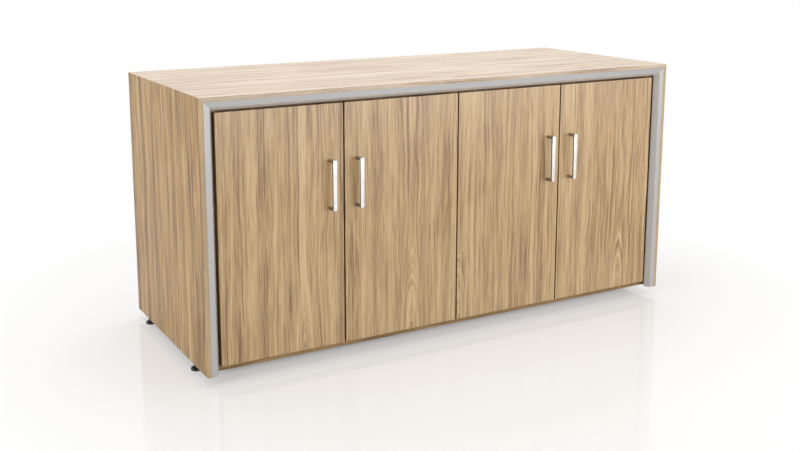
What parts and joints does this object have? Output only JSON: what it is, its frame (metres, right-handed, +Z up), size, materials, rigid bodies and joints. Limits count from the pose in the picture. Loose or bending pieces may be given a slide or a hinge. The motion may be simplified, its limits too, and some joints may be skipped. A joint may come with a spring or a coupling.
{
  "type": "office credenza",
  "caption": "Low storage credenza: hinged doors with D pulls inside a mitred wood-grain surround edged with aluminium trim, on levelling feet.",
  "frame": {"origin": "on the floor, under the centre of the whole piece", "axes": "+X to the right along the length, +Y from the front to the back, +Z up"},
  "size_m": [1.524, 0.623, 0.749],
  "materials": {
    "case_laminate": "oak-like wood-grain laminate, satin",
    "door_laminate": "oak-like wood-grain laminate with upright grain, satin",
    "inner_laminate": "oak-like wood-grain laminate, satin",
    "back_laminate": "oak-like laminate on thin board",
    "birch": "bare birch",
    "trim_aluminium": "clear-anodised aluminium extrusion, satin",
    "pull_metal": "satin nickel",
    "hinge_steel": "nickel-plated steel",
    "screw_zinc": "bright zinc",
    "foot_plastic": "black nylon",
    "bumper_rubber": "clear soft bumper"
  },
  "bodies": {
    "carcass": {"top_panel": "case_laminate", "left_end_panel": "case_laminate", "right_end_panel": "case_laminate", "mitre_splines": "birch", "trim_top": "trim_aluminium", "trim_left": "trim_aluminium", "trim_right": "trim_aluminium", "bottom_panel": "inner_laminate", "centre_partition": "inner_laminate", "left_hinge_stile": "inner_laminate", "right_hinge_stile": "inner_laminate", "left_top_rail": "inner_laminate", "right_top_rail": "inner_laminate", "back_panel": "back_laminate", "case_dowels": "birch", "left_shelf": "inner_laminate", "right_shelf": "inner_laminate", "shelf_pins": "screw_zinc", "hinge_plates": "hinge_steel", "hinge_arms": "hinge_steel", "hinge_plate_screws": "screw_zinc", "hinge_adjusters": "screw_zinc", "back_screws": "screw_zinc", "foot_inserts": "screw_zinc", "door_bumpers": "bumper_rubber"},
    "door_1": {"door_1_panel": "door_laminate", "door_1_pull": "pull_metal", "door_1_pull_screws": "screw_zinc", "door_1_hinge_cups": "hinge_steel", "door_1_hinge_pins": "screw_zinc", "door_1_cup_screws": "screw_zinc"},
    "door_1_links": {"door_1_hinge_links": "hinge_steel"},
    "door_2": {"door_2_panel": "door_laminate", "door_2_pull": "pull_metal", "door_2_pull_screws": "screw_zinc", "door_2_hinge_cups": "hinge_steel", "door_2_hinge_pins": "screw_zinc", "door_2_cup_screws": "screw_zinc"},
    "door_2_links": {"door_2_hinge_links": "hinge_steel"},
    "door_3": {"door_3_panel": "door_laminate", "door_3_pull": "pull_metal", "door_3_pull_screws": "screw_zinc", "door_3_hinge_cups": "hinge_steel", "door_3_hinge_pins": "screw_zinc", "door_3_cup_screws": "screw_zinc"},
    "door_3_links": {"door_3_hinge_links": "hinge_steel"},
    "door_4": {"door_4_panel": "door_laminate", "door_4_pull": "pull_metal", "door_4_pull_screws": "screw_zinc", "door_4_hinge_cups": "hinge_steel", "door_4_hinge_pins": "screw_zinc", "door_4_cup_screws": "screw_zinc"},
    "door_4_links": {"door_4_hinge_links": "hinge_steel"},
    "foot_1": {"foot_1": "foot_plastic"},
    "foot_2": {"foot_2": "foot_plastic"},
    "foot_3": {"foot_3": "foot_plastic"},
    "foot_4": {"foot_4": "foot_plastic"},
    "foot_5": {"foot_5": "foot_plastic"},
    "foot_6": {"foot_6": "foot_plastic"}
  },
  "joints": [
    {"name": "door_1_swing", "type": "hinge", "parent": "carcass", "child": "door_1", "pos_m": [-0.7185, -0.2835, 0.376], "axis": [0, 0, -1], "range_deg": [0, 110]},
    {"name": "door_1_link_turn", "type": "hinge", "parent": "door_1", "child": "door_1_links", "pos_m": [-0.7062, -0.27105, 0.376], "axis": [0, 0, -1], "range_deg": [-102.5, 0.2]},
    {"name": "door_2_swing", "type": "hinge", "parent": "carcass", "child": "door_2", "pos_m": [-0.002, -0.2835, 0.376], "axis": [0, 0, 1], "range_deg": [0, 85]},
    {"name": "door_2_link_turn", "type": "hinge", "parent": "door_2", "child": "door_2_links", "pos_m": [-0.0143, -0.27105, 0.376], "axis": [0, 0, 1], "range_deg": [-79.25, 0.2]},
    {"name": "door_3_swing", "type": "hinge", "parent": "carcass", "child": "door_3", "pos_m": [0.002, -0.2835, 0.376], "axis": [0, 0, -1], "range_deg": [0, 85]},
    {"name": "door_3_link_turn", "type": "hinge", "parent": "door_3", "child": "door_3_links", "pos_m": [0.0143, -0.27105, 0.376], "axis": [0, 0, -1], "range_deg": [-79.25, 0.2]},
    {"name": "door_4_swing", "type": "hinge", "parent": "carcass", "child": "door_4", "pos_m": [0.7185, -0.2835, 0.376], "axis": [0, 0, 1], "range_deg": [0, 110]},
    {"name": "door_4_link_turn", "type": "hinge", "parent": "door_4", "child": "door_4_links", "pos_m": [0.7062, -0.27105, 0.376], "axis": [0, 0, 1], "range_deg": [-102.5, 0.2]},
    {"name": "foot_1_turn", "type": "hinge", "parent": "carcass", "child": "foot_1", "pos_m": [-0.7465, -0.1655, 0.013], "axis": [0, 0, 1], "continuous": true},
    {"name": "foot_2_turn", "type": "hinge", "parent": "carcass", "child": "foot_2", "pos_m": [-0.7465, 0.2385, 0.013], "axis": [0, 0, 1], "continuous": true},
    {"name": "foot_3_turn", "type": "hinge", "parent": "carcass", "child": "foot_3", "pos_m": [0, -0.1655, 0.013], "axis": [0, 0, 1], "continuous": true},
    {"name": "foot_4_turn", "type": "hinge", "parent": "carcass", "child": "foot_4", "pos_m": [0, 0.2385, 0.013], "axis": [0, 0, 1], "continuous": true},
    {"name": "foot_5_turn", "type": "hinge", "parent": "carcass", "child": "foot_5", "pos_m": [0.7465, -0.1655, 0.013], "axis": [0, 0, 1], "continuous": true},
    {"name": "foot_6_turn", "type": "hinge", "parent": "carcass", "child": "foot_6", "pos_m": [0.7465, 0.2385, 0.013], "axis": [0, 0, 1], "continuous": true}
  ],
  "couplings": [
    {"joint": "door_1_link_turn", "follows": "door_1_swing", "ratio": -0.93},
    {"joint": "door_2_link_turn", "follows": "door_2_swing", "ratio": -0.93},
    {"joint": "door_3_link_turn", "follows": "door_3_swing", "ratio": -0.93},
    {"joint": "door_4_link_turn", "follows": "door_4_swing", "ratio": -0.93}
  ]
}
